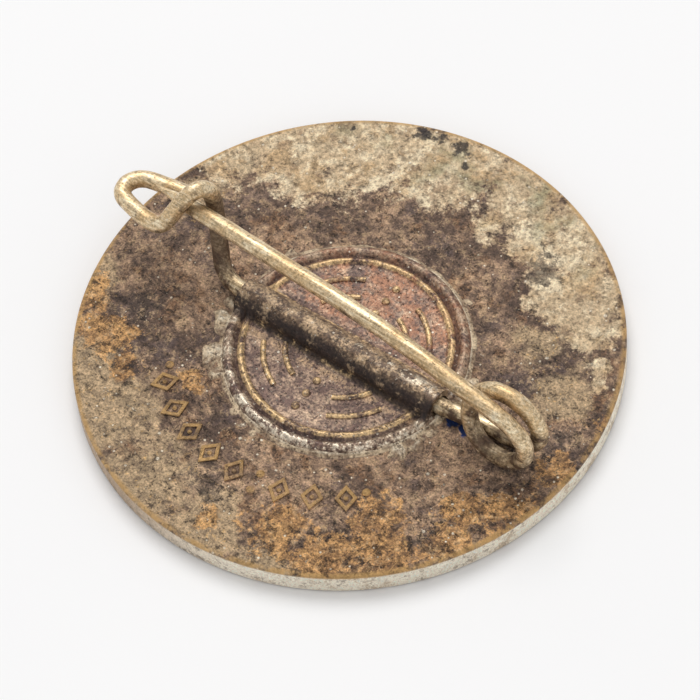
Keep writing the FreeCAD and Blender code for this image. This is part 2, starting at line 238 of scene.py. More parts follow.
class Finish:
    """A material whose nodes are made one call at a time, with positions in millimetres."""

    def __init__(self, name):
        self.material = bpy.data.materials.new(name)
        self.material.use_nodes = True
        self.tree = self.material.node_tree
        self.tree.nodes.clear()
        coordinates = self.tree.nodes.new("ShaderNodeTexCoord")
        metres = Term(self, coordinates.outputs["Object"])
        self.facing = Term(self, coordinates.outputs["Normal"])
        self.at = self.vector("SCALE", {0: metres, 3: 1 / MM})
        self.x, self.y, self.z = self.parts(self.at)

    def node(self, kind, values=(), out=0, stops=None, **settings):
        made = self.tree.nodes.new(kind)
        for name, value in settings.items():
            setattr(made, name, value)
        if stops:
            ramp = made.color_ramp
            while len(ramp.elements) < len(stops):
                ramp.elements.new(0.5)
            for element, (position, colour) in zip(ramp.elements, stops):
                element.position = position
                element.color = (*colour, 1)
        pairs = values.items() if isinstance(values, dict) else enumerate(values)
        for key, value in pairs:
            if isinstance(value, Term):
                self.tree.links.new(value.socket, made.inputs[key])
            else:
                made.inputs[key].default_value = value
        return Term(self, made.outputs[out])

    def vector(self, operation, values, out=0):
        return self.node("ShaderNodeVectorMath", values, out, operation=operation)

    def parts(self, vector):
        first = self.node("ShaderNodeSeparateXYZ", [vector])
        outputs = first.socket.node.outputs
        return [Term(self, outputs[n]) for n in range(3)]

    def grain(self, size, detail=3.0, roughness=0.55, at=None, distortion=0.0):
        """Cloudy noise, 0 to 1, whose lumps are about size millimetres across."""
        values = {"Vector": at or self.at, "Scale": 1 / size, "Detail": detail,
                  "Roughness": roughness, "Distortion": distortion}
        return self.node("ShaderNodeTexNoise", values)

    def stretched(self, turn, sizes):
        """The position turned about Z and divided by a size along each axis."""
        scale = tuple(1 / s for s in sizes)
        values = {"Vector": self.at, "Rotation": (0, 0, math.radians(turn)), "Scale": scale}
        return self.node("ShaderNodeMapping", values, vector_type="POINT")

    def wander(self, amount, size):
        """The position pushed about by noise, so that an outline on it turns ragged."""
        cloud = self.node("ShaderNodeTexNoise", {"Vector": self.at, "Scale": 1 / size, "Detail": 6.0}, 1)
        shift = self.vector("SUBTRACT", [cloud, (0.5, 0.5, 0.5)])
        return self.vector("MULTIPLY_ADD", [shift, (amount, amount, 0.0), self.at])

    def blots(self, at, places):
        """A broad soft mound, 1 in the middle of each (x, y, reach) and 0 at twice the reach."""
        flat = self.vector("MULTIPLY", [at, (1, 1, 0)])
        total = None
        for x, y, reach in places:
            away = self.vector("DISTANCE", [flat, (x, y, 0)], "Value")
            near = away.rise(2.0 * reach, 0.0)
            total = near if total is None else total.most(near)
        return total

    def specks(self, size, share, reach=0.14, at=None):
        """Small round specks, one to a cell of that size, on about that share of the cells."""
        values = {"Vector": at or self.at, "Scale": 1 / size}
        dot = self.node("ShaderNodeTexVoronoi", values, "Distance")
        chance = self.parts(Term(self, dot.socket.node.outputs["Color"]))[0]
        radius = chance.rise(1 - share, 1.0) * reach
        return (radius - dot).rise(0.0, 0.05)

    def shade(self, colour, factor):
        """The colour made darker or lighter by a factor that may vary."""
        return self.vector("SCALE", {0: colour, 3: factor})

    def tint(self, mask, under, over):
        """Lays one colour over another where the mask is 1."""
        return self.node(
            "ShaderNodeMix", {0: mask, 6: under, 7: over}, 2, data_type="RGBA", clamp_factor=True
        )

    def bumps(self, height, strength, distance):
        values = {"Height": height, "Strength": strength, "Distance": distance * MM}
        return self.node("ShaderNodeBump", values)

    def surface(self, **values):
        """Ends the tree in one Principled shader."""
        named_values = {name.replace("_", " "): value for name, value in values.items()}
        shader = self.node("ShaderNodeBsdfPrincipled", named_values)
        output = self.tree.nodes.new("ShaderNodeOutputMaterial")
        self.tree.links.new(shader.socket, output.inputs["Surface"])
        return self.material


def paint(red, green, blue):
    """A colour as the eye names it, 0 to 255, turned into the light values Blender mixes."""
    shades = []
    for shade in (red, green, blue):
        part = shade / 255
        shades.append(part / 12.92 if part <= 0.04045 else ((part + 0.055) / 1.055) ** 2.4)
    return (*shades, 1.0)


# %% [markdown]
# ## The patina of the back
# The back was never polished. Most of it is dark brown oxide; a pale dusty bloom lies in a broad
# arc along one side, olive tan lies opposite, and the metal is rubbed to copper gold along the
# lower edge. A flat painted texture would have a fixed grain, so these are soft areas, given in lists,
# whose edges are made ragged by noise. Height does the rest: whatever stands proud is rubbed bright.

# %% Where each tone lies, as (x, y, reach) in millimetres
PALE = [(-10.5, 5.4, 1.8), (-8.8, 7.6, 2.6), (-5.6, 9.6, 3.0), (-2.0, 10.9, 2.4), (1.8, 10.8, 2.2),
        (4.8, 10.0, 2.2), (7.4, 7.6, 2.2), (8.9, 6.3, 0.9), (10.2, 4.9, 0.5), (-7.4, 6.2, 1.5)]
OLIVE = [(-9.4, -7.4, 2.2), (-6.8, -9.2, 2.4), (-3.2, -10.9, 2.2), (0.8, -11.6, 1.7), (4.0, -11.2, 1.4),
         (-11.6, -3.2, 1.2), (-10.8, 2.6, 1.2), (9.4, 3.2, 1.4), (7.2, 4.6, 1.2)]
COPPER = [(-11.2, -4.4, 1.2), (-9.4, -5.8, 1.2), (-7.6, -6.6, 0.9), (-4.6, -5.6, 0.7), (3.4, -9.8, 1.2),
          (6.0, -9.8, 1.6), (8.2, -8.4, 1.9), (9.8, -6.0, 1.3), (11.2, -3.4, 1.3), (11.7, -0.6, 0.9),
          (6.8, -7.2, 1.2), (11.8, 2.8, 0.8), (9.4, -4.2, 0.8), (0.6, -10.9, 0.7)]
BLACK = [(-4.0, 11.3, 0.45), (-3.2, 11.5, 0.4), (-2.1, 11.6, 0.5), (-1.3, 11.1, 0.4), (-7.0, 9.7, 0.25)]
SOOT = [(4.9, 8.1, 0.9), (9.4, -6.6, 0.8), (11.1, 1.2, 0.9), (-0.8, -9.6, 1.2),
        (10.2, -1.4, 1.3), (7.6, -9.6, 0.6), (-8.9, -3.4, 1.2)]

# %% [markdown]
# The layers go on in the order in which they came about: brown oxide first, then tan and pale
# bloom, rubbed gold, soot, pits, scratches and specks, and last the metal that still gets rubbed.

# %% The patina itself


def patina():
    f = Finish("struck_tombac_patina")
    ragged = f.wander(3.4, 2.6)
    fine = f.grain(0.2, 5.0, 0.7)
    lumps = f.grain(1.0, 9.0, 0.72)
    cloud = f.grain(3.0, 8.0, 0.66)
    mottle = (lumps - 0.5) * 4.4 + (fine - 0.5) * 1.2
    patches = (cloud - 0.5) * 4.4 + (lumps - 0.5) * 2.6
    grit = (f.grain(0.42, 9.0, 0.78) - 0.5) * 6.5
    sand = f.grain(0.09, 2.0, 0.6)

    brown = f.tint((patches + 0.5).rise(0.1, 1.0), paint(102, 82, 69), paint(176, 145, 118))
    brown = f.tint((mottle + grit * 0.3 + 0.5).rise(0.8, 1.15) * 0.75, brown, paint(172, 144, 114))

    rust = (f.grain(1.7, 7.0, 0.7) - 0.5) * 6.0
    brown = f.tint((rust + 0.5).rise(0.7, 1.2) * 0.6, brown, paint(142, 104, 72))
    brown = f.tint((rust * -1 + 0.5).rise(0.7, 1.2) * 0.5, brown, paint(78, 68, 72))

    spread = f.blots(ragged, PALE) * 1.5 + mottle * 0.55
    pale = spread.rise(0.55, 0.95)
    tide = spread.rise(0.15, 0.45) * spread.rise(0.8, 0.6)
    brown = f.tint(tide * 0.4, brown, paint(84, 66, 56))
    olive_area = f.blots(ragged, OLIVE)
    olive = (olive_area * 1.4 + patches * 0.7).rise(0.45, 1.05)
    copper_area = f.blots(ragged, COPPER)
    copper = (copper_area * 1.35 + mottle * 0.55 - grit * 0.35).rise(0.66, 0.9)

    colour = f.tint(olive * 0.88, brown, paint(176, 152, 120))
    colour = f.tint(pale * 0.95, colour, paint(200, 177, 144))
    dust = pale * (patches * 0.6 + mottle * 0.6 + 0.5).rise(0.3, 1.0)
    colour = f.tint(dust * 0.85, colour, paint(230, 213, 182))
    tan = pale * (rust + 0.5).rise(0.55, 1.1)
    colour = f.tint(tan * 0.6, colour, paint(186, 154, 112))
    hollow = f.grain(0.7, 9.0, 0.75, at=f.wander(0.8, 1.0)).rise(0.5, 0.36)
    colour = f.tint(pale * hollow * 0.75, colour, paint(140, 114, 90))
    green = pale * f.grain(1.6, 6.0).rise(0.5, 0.66) * f.y.rise(7.5, 10.5)
    colour = f.tint(green * 0.6, colour, paint(134, 136, 108))
    gold = f.tint((mottle + 0.5).rise(0.2, 1.0), paint(160, 120, 78), paint(206, 158, 102))
    colour = f.tint(copper * 0.85, colour, gold)

    soot = (f.blots(f.wander(2.8, 1.2), SOOT) * 1.15 + grit * 0.6 + mottle * 0.5).rise(0.72, 1.1)
    soot = soot.most((patches * -1 - 0.55).rise(0.1, 0.5) * 0.7 * (1 - pale))
    colour = f.tint(soot * 0.7, colour, paint(62, 52, 48))
    blotch = (f.grain(0.6, 9.0, 0.78, at=f.wander(0.6, 0.8)) - 0.5) * 7.0
    dark = blotch.rise(0.05, 0.45) * (1 - pale * 0.85) * (1 - olive * 0.4)
    colour = f.tint(dark * 0.62, colour, paint(66, 51, 45))
    light = blotch.rise(-0.25, -0.6) * (1 - pale * 0.6)
    colour = f.tint(light * 0.5, colour, paint(196, 166, 130))
    black = (f.blots(f.wander(1.6, 0.7), BLACK) * 1.35 + grit * 0.4).rise(0.7, 1.1)
    colour = f.tint(black * 0.85, colour, paint(42, 40, 44))
    crumbs = (grit + copper_area * 0.2 + 0.5).rise(0.95, 1.3)
    colour = f.tint(crumbs * (0.7 - pale * 0.4), colour, paint(60, 47, 43))
    pits = f.grain(0.15, 4.0, 0.65).rise(0.39, 0.3) * (1 - pale * 0.5)
    colour = f.tint(pits * 0.75, colour, paint(50, 40, 38))

    scratches = f.grain(1.0, 2.0, 0.5, at=f.stretched(-62, (0.06, 2.2, 1.0))).rise(0.64, 0.72)
    scratches = scratches * copper_area.rise(0.2, 0.8)
    colour = f.tint(scratches * 0.6, colour, paint(206, 162, 106))
    flecked = (copper_area + olive_area + 0.25).least(1.0)
    flecks = f.grain(0.26, 6.0, 0.75).rise(0.58, 0.65) * flecked
    colour = f.tint(flecks * 0.7, colour, paint(206, 166, 108))
    crust = f.grain(0.75, 8.0, 0.72, at=f.wander(0.5, 0.4)).rise(0.65, 0.7)
    flour = f.grain(0.13, 3.0, 0.7).rise(0.63, 0.7) * (grit + 0.5).rise(0.2, 0.7)
    white = f.specks(0.3, 0.4, 0.24).most(f.specks(0.8, 0.35, 0.14)).most(crust).most(flour * 0.7)
    colour = f.tint(white * 0.85, colour, paint(230, 216, 194))
    stain = f.blots(f.wander(0.7, 0.5), [(6.5, -0.9, 0.3), (7.2, -0.95, 0.26)]).rise(0.25, 0.5)
    colour = f.tint(stain, colour, paint(24, 48, 98))
    level = 1.22 + (fine - 0.5) * 3.2 - grit * (0.34 - pale * 0.2)
    level = level + (sand - 0.5) * (2.4 - pale * 1.2)
    colour = f.shade(colour, level.most(0.3))

    away = f.vector("LENGTH", [f.vector("MULTIPLY", [f.at, (1, 1, 0)])], "Value")
    proud = f.z.rise(back + 0.035, back + 0.085) * away.rise(12.0, 11.6)
    rim = away.rise(12.2, 12.4) * f.z.rise(back - 0.3, back - 0.06)
    worn = (mottle + 0.5).rise(-0.1, 0.7)
    rubbed = (proud * (0.25 + worn * 0.75) + rim * worn * 0.9).least(1.0)
    colour = f.tint(rubbed * 0.9, colour, paint(206, 166, 110))
    wall = away.rise(12.4, 12.49) * f.z.rise(back - 0.06, back - 0.16)
    # Painted reflection: the side wall is painted near white on the side towards plus x and minus y, as if
    # it mirrored the pale floor, and warm brown on the other side.
    painted_floor_reflection = (f.x * 0.83 - f.y * 0.4).rise(1.0, 8.0)
    side = f.tint(painted_floor_reflection, paint(184, 160, 134), paint(250, 238, 218))
    side = f.tint((mottle + 0.5).rise(0.6, 1.0) * 0.6, side, paint(176, 150, 118))
    side = f.tint((grit * -1 + 0.5).rise(0.85, 1.3) * 0.5, side, paint(132, 110, 90))
    side = f.shade(side, 1.06 + grit * 0.3 + (sand - 0.5) * 1.2)
    colour = f.tint(wall, colour, side)

    front = f.parts(f.facing)[2].rise(-0.3, -0.7)
    colour = f.tint(front * 0.8, colour, f.tint(mottle + 0.4, paint(150, 122, 82), paint(204, 174, 120)))
    bare = (front * 0.8 + copper * 0.4 + rubbed * 0.8 + scratches * 0.4 + wall * 0.4).least(1.0)
    roughness = 0.5 - bare * 0.12 + pale * 0.15 + (fine - 0.5) * 0.3
    height = lumps * 0.7 + fine * 0.4 + white * 0.5 - pits * 0.5 - crumbs * 0.3 - soot * 0.15
    return f.surface(
        Base_Color=colour, Metallic=0.25 + bare * 0.45, Roughness=roughness,
        Normal=f.bumps(height + sand * 0.3 + grit * 0.18, 1.0, 0.11),
    )


patina_finish = patina()
print("patina:", len(patina_finish.node_tree.nodes), "nodes")

# %% [markdown]
# ## The struck disc
# A die strikes the disc from sheet, which leaves sunk cells on the front and a back that is never
# quite flat, with a slight raised edge. One way is to bevel a cylinder. A spun profile is better,
# since the close rows of faces on the back can then be raised and sunk by a noise texture. The
# cells are cut last, with the enamel's own CAD shapes as cutters, so glass and metal match.

# %% The blank, spun and made uneven
ROWS = 74
LIP = 0.05
ARRIS = 0.12


def back_height(radius):
    """The back is flat but for a faint raised edge and a rounded corner."""
    if radius > disc_radius - ARRIS:
        drop = radius - (disc_radius - ARRIS)
        return back - ARRIS + math.sqrt(max(ARRIS**2 - drop**2, 0))
    edge = max(0.0, 1 - abs(radius - (disc_radius - 0.3)) / 0.28)
    return back + LIP * 0.5 * (1 - math.cos(math.pi * edge)) * 0.6


radii = [disc_radius * 0.985 * n / ROWS for n in range(ROWS + 1)]
radii += [disc_radius - ARRIS * (1 - math.sin(a * math.pi / 10)) for a in range(0, 6)]
profile = [(r, back_height(r)) for r in sorted(radii)]
profile += [(disc_radius, 0.6), (disc_radius, ARRIS), (disc_radius - ARRIS * 0.3, ARRIS * 0.3)]
profile += [(disc_radius - ARRIS, 0.0), (11.0, 0.0), (0.0, 0.0)]
disc = spun("struck_disc", profile, 300, closed=False)

uneven = bpy.data.textures.new("uneven_back", "CLOUDS")
uneven.noise_scale = 2.2
uneven.noise_depth = 3
back_points = disc.vertex_groups.new(name="back")
inner = [v.index for v in disc.data.vertices if v.co.z > back - 0.02 and v.co.to_2d().length < 12.3]
back_points.add(inner, 1.0, "REPLACE")
press_on(
    disc, "DISPLACE", texture=uneven, direction="Z", strength=0.06, mid_level=0.5,
    texture_coords="LOCAL", vertex_group="back",
)
print("blank:", len(disc.data.polygons), "faces")

# %% [markdown]
# A cutter is a copy of an enamel fill. The CAD mesh is loose triangles, so the copy is merged
# first, and its open end is pulled down past the front face: two faces in one plane would leave
# the cut in doubt.

# %% The cells, cut with the enamel's own shapes
FILLS = sorted(name for name in frame["nodes"] if name.startswith("enamel_"))


def cutter(node):
    source = frame["nodes"][node]
    tool = bpy.data.objects.new("cutter_" + node, source.data.copy())
    bpy.context.scene.collection.objects.link(tool)
    tool.data.transform(Matrix.Scale(1 / MM, 4))
    edit(tool, merge_and_face_out)
    for vertex in tool.data.vertices:
        if vertex.co.z < 0.01:
            vertex.co.z = -0.4
    return tool


tools = [cutter(node) for node in FILLS]
cutters = join("cell_cutters", tools)
press_on(disc, "BOOLEAN", operation="DIFFERENCE", object=cutters, solver="EXACT")
bpy.data.objects.remove(cutters)
place(disc, patina_finish, smooth=math.radians(30))
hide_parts("badge_body")

# %% [markdown]
# ## The raised marks
# Struck in an arc along the lower edge is a row of small marks: framed lozenges with a pip, and a
# few round dots between them. Each kind is modelled once, from a four-sided circle that is pulled
# up, inset and sunk in the middle, and is then copied round the arc with a mesh of its own.

# %% Lozenges and dots in an arc
MARK_RADIUS = 8.45
LOZENGE_BEARINGS = [229.5, 239.8, 249.8, 259.8, 269.8, 285.4, 295.7, 306.0]
DOTS = [(223.4, 8.1), (277.6, 8.0), (277.6, 8.9), (312.2, 8.2)]


def lozenge(length, width, height):
    bpy.ops.mesh.primitive_circle_add(vertices=4, radius=0.5, fill_type="NGON", location=(0, 0, 0))
    piece = named("lozenge")
    edit(
        piece,
        lambda: bpy.ops.transform.resize(value=(length, width, 1)),
        lambda: bpy.ops.mesh.extrude_region_move(TRANSFORM_OT_translate={"value": (0, 0, height)}),
        lambda: bpy.ops.mesh.inset(thickness=0.17),
        lambda: bpy.ops.mesh.extrude_region_move(TRANSFORM_OT_translate={"value": (0, 0, -0.75 * height)}),
        lambda: bpy.ops.mesh.select_all(action="SELECT"),
        merge_and_face_out,
    )
    return press_on(piece, "BEVEL", width=0.035, segments=3, limit_method="ANGLE")


def dot(radius, height):
    bpy.ops.mesh.primitive_uv_sphere_add(segments=20, ring_count=10, radius=radius)
    piece = named("dot")
    return edit(piece, lambda: bpy.ops.transform.resize(value=(1, 1, height / radius)))


def copies(model, spots):
    """Copies of a small piece, each (radius, bearing, height, middle) from a middle point."""
    made = []
    for radius, bearing, height, middle in spots:
        angle = math.radians(bearing)
        copy = bpy.data.objects.new(model.name, model.data.copy())
        bpy.context.scene.collection.objects.link(copy)
        turn = Matrix.Rotation(angle, 4, "Z")
        centre = Vector((middle[0] + radius * math.cos(angle), middle[1] + radius * math.sin(angle), height))
        copy.data.transform(Matrix.Translation(centre) @ turn)
        made.append(copy)
    bpy.data.objects.remove(model)
    return made


ORIGIN = (0.0, 0.0)
sunk = back - 0.04
marks = copies(lozenge(1.4, 1.04, 0.15), [(MARK_RADIUS, b, sunk, ORIGIN) for b in LOZENGE_BEARINGS])
pips = copies(dot(0.13, 0.1), [(MARK_RADIUS, b, back, ORIGIN) for b in LOZENGE_BEARINGS])
dots = copies(dot(0.22, 0.13), [(r, b, back, ORIGIN) for b, r in DOTS])
back_marks = join("back_marks", marks + pips + dots)
place(back_marks, patina_finish)

# %% [markdown]
# ## The soldered plate
# The plate is thin sheet pressed in a die: a rounded rim, a groove, a fine raised ring, a flat
# field, and a half-round barrel across it. A spun disc gives the round parts, but the barrel has
# to flow into the field with a soft hollow. So the disc is spun flat with close rows, and each
# point is lifted to the height that the die would give it. A soft maximum blends the barrel in.

# %% The plate's height over the disc
SHEET = 0.23
RING = plate_radius - 0.87
SOFT = 0.16


def soft_most(a, b, soft=SOFT):
    """The larger of two heights, rounded where they meet."""
    share = max(soft - abs(a - b), 0.0) / soft
    return max(a, b) + share * share * soft / 4


def ridge(distance, half_width, height):
    """A rounded ridge, seen across."""
    share = min(abs(distance) / half_width, 1.0)
    return height * 0.5 * (1 + math.cos(math.pi * share))


def plate_height(x, y):
    radius = math.hypot(x - plate_middle.x, y - plate_middle.y)
    field = SHEET + 0.012 * noise.noise(Vector((x * 0.9, y * 0.9, 3.0)))
    field += ridge(radius - (plate_radius - 0.3), 0.34, 0.17)
    field += ridge(radius - RING, 0.27, 0.16)
    field -= ridge(radius - (RING + 0.28), 0.16, 0.05)
    edge = max(0.0, radius - (plate_radius - 0.1)) / 0.1
    field -= 0.12 * edge * edge
    across = abs(y - barrel_y)
    if across < barrel_outer and barrel_left < x < barrel_right:
        roof = 0.25 + math.sqrt(barrel_outer**2 - across**2)
        roof += 0.02 * noise.noise(Vector((x * 0.8, y * 0.8, 9.0)))
        field = soft_most(field, roof, 0.3)
    elif across < barrel_outer + 0.45 and barrel_left < x < barrel_right:
        hollow = 1 - (across - barrel_outer) / 0.45
        field += 0.13 * hollow * hollow
    return back + field


# %% [markdown]
# The lifted sheet has an open edge. It is pulled straight down and closed, so that the plate is
# solid, and a cylinder cut through the barrel leaves the channel that holds the wire.

# %% The plate, lifted, closed below and bored for the wire
PLATE_ROWS = 104
flat = [(plate_radius * n / PLATE_ROWS, 0.0) for n in range(PLATE_ROWS + 1)]
plate = spun("solder_plate_pressed", flat, 360, closed=False)
plate.data.transform(Matrix.Translation((plate_middle.x, plate_middle.y, 0)))
for vertex in plate.data.vertices:
    vertex.co.z = plate_height(vertex.co.x, vertex.co.y)


def close_below(piece, floor):
    """Pulls the open edge down to a level and closes it with one face."""
    def pull():
        bpy.ops.mesh.select_all(action="DESELECT")
        bpy.ops.mesh.select_non_manifold(use_wire=False, use_boundary=True, use_multi_face=False,
                                         use_non_contiguous=False, use_verts=False)
        bpy.ops.mesh.extrude_edges_move()
        bpy.ops.transform.resize(value=(1, 1, 0))
    edit(piece, pull)
    moved = [v for v in piece.data.vertices if v.select]
    for vertex in moved:
        vertex.co.z = floor
    alone(piece)
    bpy.ops.object.mode_set(mode="EDIT")
    bpy.ops.mesh.edge_face_add()
    bpy.ops.mesh.select_all(action="SELECT")
    bpy.ops.mesh.normals_make_consistent(inside=False)
    bpy.ops.object.mode_set(mode="OBJECT")


close_below(plate, back - 0.05)
bpy.ops.mesh.primitive_cylinder_add(
    vertices=48, radius=barrel_inner, depth=14, location=(0, barrel_y, barrel_axis + 0.05),
    rotation=(0, math.pi / 2, 0),
)
bore = named("bore")
press_on(plate, "BOOLEAN", operation="DIFFERENCE", object=bore, solver="EXACT")
bpy.data.objects.remove(bore)
print("plate:", len(plate.data.polygons), "faces")

# %% [markdown]
# The plate kept its colour differently from the disc. Its field is a purplish brown, redder on the
# far side, and the ring, the strokes and the rim's crest are rubbed to gold. The mask is the height
# over the field again, so the wear follows the metal from any side. Light and shade are painted in
# as well: a painted highlight along the barrel's crown, painted glints on the rim, painted shade in
# the groove and along the barrel's near flank, and a lighter band painted at the fillet's foot.

# %% The plate's finish


def plate_patina():
    f = Finish("pressed_plate_patina")
    lumps = f.grain(0.8, 9.0, 0.72)
    fine = f.grain(0.14, 4.0, 0.65)
    mottle = (lumps - 0.5) * 4.4 + (fine - 0.5) * 1.2
    colour = f.tint((mottle + 0.5).rise(0.1, 1.0), paint(98, 76, 68), paint(160, 134, 114))
    red = f.y.rise(0.1, 0.8) * f.grain(0.9, 6.0, 0.7).rise(0.4, 0.56)
    colour = f.tint(red * 0.7, colour, paint(162, 112, 82))
    dusty = (mottle + 0.5).rise(0.75, 1.15)
    colour = f.tint(dusty * 0.6, colour, paint(196, 170, 142))
    barrel = f.z.rise(back + 0.42, back + 0.62)
    off_barrel = 1 - barrel
    roof = f.tint((mottle + 0.5).rise(0.1, 1.0), paint(90, 72, 58), paint(170, 144, 112))
    roof = f.tint((f.grain(0.25, 6.0, 0.7)).rise(0.45, 0.6) * 0.5, roof, paint(120, 96, 74))
    roof = f.tint(f.y.rise(-0.2, -0.7) * (mottle + 0.5).rise(0.3, 0.9) * 0.6, roof, paint(188, 162, 130))
    colour = f.tint(barrel * 0.9, colour, roof)
    # Painted highlight: a pale glare is painted along the barrel's crown, more of it towards the right end.
    crown = f.y.rise(-1.0, -0.6) * f.y.rise(-0.1, -0.5)
    glare = barrel * (f.grain(0.5, 8.0, 0.75) + f.x * 0.014).rise(0.55, 0.64) * crown
    colour = f.tint(glare * 0.9, colour, paint(214, 200, 178))
    flat = f.vector("MULTIPLY", [f.at, (1, 1, 0)])
    away = f.vector("DISTANCE", [flat, (plate_middle.x, plate_middle.y, 0)], "Value")
    # Painted shade: the groove outside the ring is painted darker.
    groove = away.rise(RING + 0.08, RING + 0.22) * away.rise(RING + 0.48, RING + 0.3) * off_barrel
    colour = f.tint(groove * 0.6, colour, paint(72, 54, 48))
    # Painted highlight: a lighter band is painted along the foot of the fillet beside the barrel.
    hollow = f.y.rise(-2.45, -2.15) * f.y.rise(-1.85, -2.0) * off_barrel
    colour = f.tint(hollow * (mottle + 0.5).rise(0.1, 0.8) * 0.8, colour, paint(172, 142, 110))
    crest = f.z.rise(back + 0.26, back + 0.315) * off_barrel * away.rise(RING + 0.36, RING + 0.26)
    gold = crest * (mottle + 0.5).rise(-0.1, 0.8)
    colour = f.tint(gold * 0.85, colour, paint(210, 178, 130))
    rim = away.rise(plate_radius - 0.6, plate_radius - 0.35) * off_barrel
    colour = f.tint(rim * (mottle + 0.5).rise(0.0, 1.0) * 0.8, colour, paint(170, 148, 124))
    # Painted glints: pale spots are painted on the rim, more of them towards minus y.
    glints = rim * (mottle + 0.45 + (f.y + 1.5) * -0.1).rise(0.7, 1.05)
    colour = f.tint(glints * 0.75, colour, paint(222, 210, 190))
    crust = f.grain(0.5, 8.0, 0.72, at=f.wander(0.4, 0.4)).rise(0.65, 0.7)
    flour = f.grain(0.12, 3.0, 0.7).rise(0.61, 0.68)
    white = f.specks(0.3, 0.4, 0.22).most(f.specks(0.7, 0.3, 0.14)).most(crust).most(flour * 0.7)
    colour = f.tint(white * 0.8, colour, paint(226, 214, 196))
    pits = f.grain(0.13, 3.0).rise(0.39, 0.3)
    colour = f.tint(pits * 0.7, colour, paint(46, 36, 34))
    # Painted shade, with some dirt: a dark band is painted along the barrel's near flank and its foot.
    shore = f.parts(f.wander(0.5, 0.7))[1]
    flank_shade_and_dirt = shore.rise(-1.0, -1.35) * shore.rise(-2.0, -1.68) * f.x.rise(-5.7, -5.3) * f.x.rise(5.8, 5.5)
    colour = f.tint(flank_shade_and_dirt * (0.95 - (mottle + 0.5).rise(0.7, 1.1) * 0.5), colour, paint(44, 32, 29))
    grit = (f.grain(0.36, 9.0, 0.78) - 0.5) * 6.0
    colour = f.shade(colour, (1.08 + (fine - 0.5) * 3.4 + grit * 0.42).most(0.25))
    bare = (gold * 0.7 + glints + glare).least(1.0)
    height = lumps * 0.5 + fine * 0.4 + white * 0.4 - pits * 0.5
    return f.surface(
        Base_Color=colour, Metallic=0.3 + bare * 0.35, Roughness=0.46 - bare * 0.12 + (fine - 0.5) * 0.3,
        Normal=f.bumps(height, 0.7, 0.08),
    )


plate_finish = plate_patina()
place(plate, plate_finish, smooth=math.radians(50))
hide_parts("solder_plate")

# %% [markdown]
# Each half of the plate carries a small raised ornament: three dots in the middle, and on either
# side two thin curved strokes, one inside the other. A stroke is a fine tube along an arc, half
# sunk in the field, which is quicker to shape than cutting it out of the sheet.

# %% Strokes and dots on the plate
STROKE = 0.14


def tube(name, points, radius, radii=None, closed=False, smoothness=10, sides=4):
    """Round wire along a smooth line, made a closed mesh; radii are shares at each point."""
    curve = bpy.data.curves.new(name, "CURVE")
    curve.dimensions = "3D"
    curve.bevel_depth = radius
    curve.bevel_resolution = sides
    curve.use_fill_caps = not closed
    curve.resolution_u = smoothness
    spline = curve.splines.new("NURBS")
    spline.points.add(len(points) - 1)
    for index, (target, point) in enumerate(zip(spline.points, points)):
        target.co = (*point, 1.0)
        target.radius = radii[index] if radii else 1.0
    spline.order_u = 3
    spline.use_endpoint_u = not closed
    spline.use_cyclic_u = closed
    piece = bpy.data.objects.new(name, curve)
    bpy.context.scene.collection.objects.link(piece)
    alone(piece)
    bpy.ops.object.convert(target="MESH")
    return bpy.context.active_object


def on_plate(radius, bearing, lift=0.0):
    angle = math.radians(bearing)
    x = plate_middle.x + radius * math.cos(angle)
    y = plate_middle.y + radius * math.sin(angle)
    return (x, y, back + SHEET + lift)


strokes = []
for side in (90, 270):
    for hand in (-1, 1):
        for radius, near, far in ((3.75, 23, 61), (2.75, 23, 61)):
            bearings = [side + hand * (near + (far - near) * n / 6) for n in range(7)]
            line = [on_plate(radius, b) for b in bearings]
            strokes.append(tube(f"stroke_{side}_{hand}_{radius}", line, STROKE))
centre_dots = [(r, b, back + SHEET, plate_middle.to_2d()) for b in (90, 270) for r in (2.2, 3.0, 3.8)]
strokes += copies(dot(0.2, 0.16), centre_dots)
plate_marks = join("plate_ornament", strokes)
place(plate_marks, plate_finish)

# %% [markdown]
# ## Solder
# The plate was sweated on: a thin hollow fillet of solder runs all round it, uneven, with lumps
# where the iron lifted. A torus would look like a gasket. A narrow ring is spun flat instead, and
# its height follows a fillet whose width and thickness wander, plus a few listed lumps.

# %% The solder ring
LUMPS = [
    (188.0, 5.85, 0.4, 0.2), (196.0, 5.95, 0.5, 0.24), (203.0, 5.85, 0.4, 0.18), (215.0, 6.05, 0.55, 0.26),
    (220.0, 6.2, 0.4, 0.2), (226.0, 5.95, 0.4, 0.2), (248.0, 5.8, 0.34, 0.14), (329.0, 5.95, 0.5, 0.26),
    (338.0, 6.0, 0.46, 0.22), (346.0, 5.9, 0.34, 0.16), (8.0, 5.95, 0.4, 0.22), (16.0, 5.95, 0.32, 0.2),
    (152.0, 5.95, 0.3, 0.18), (60.0, 5.95, 0.26, 0.14), (262.0, 5.95, 0.22, 0.1),
]
SOLDER_ROWS = 16


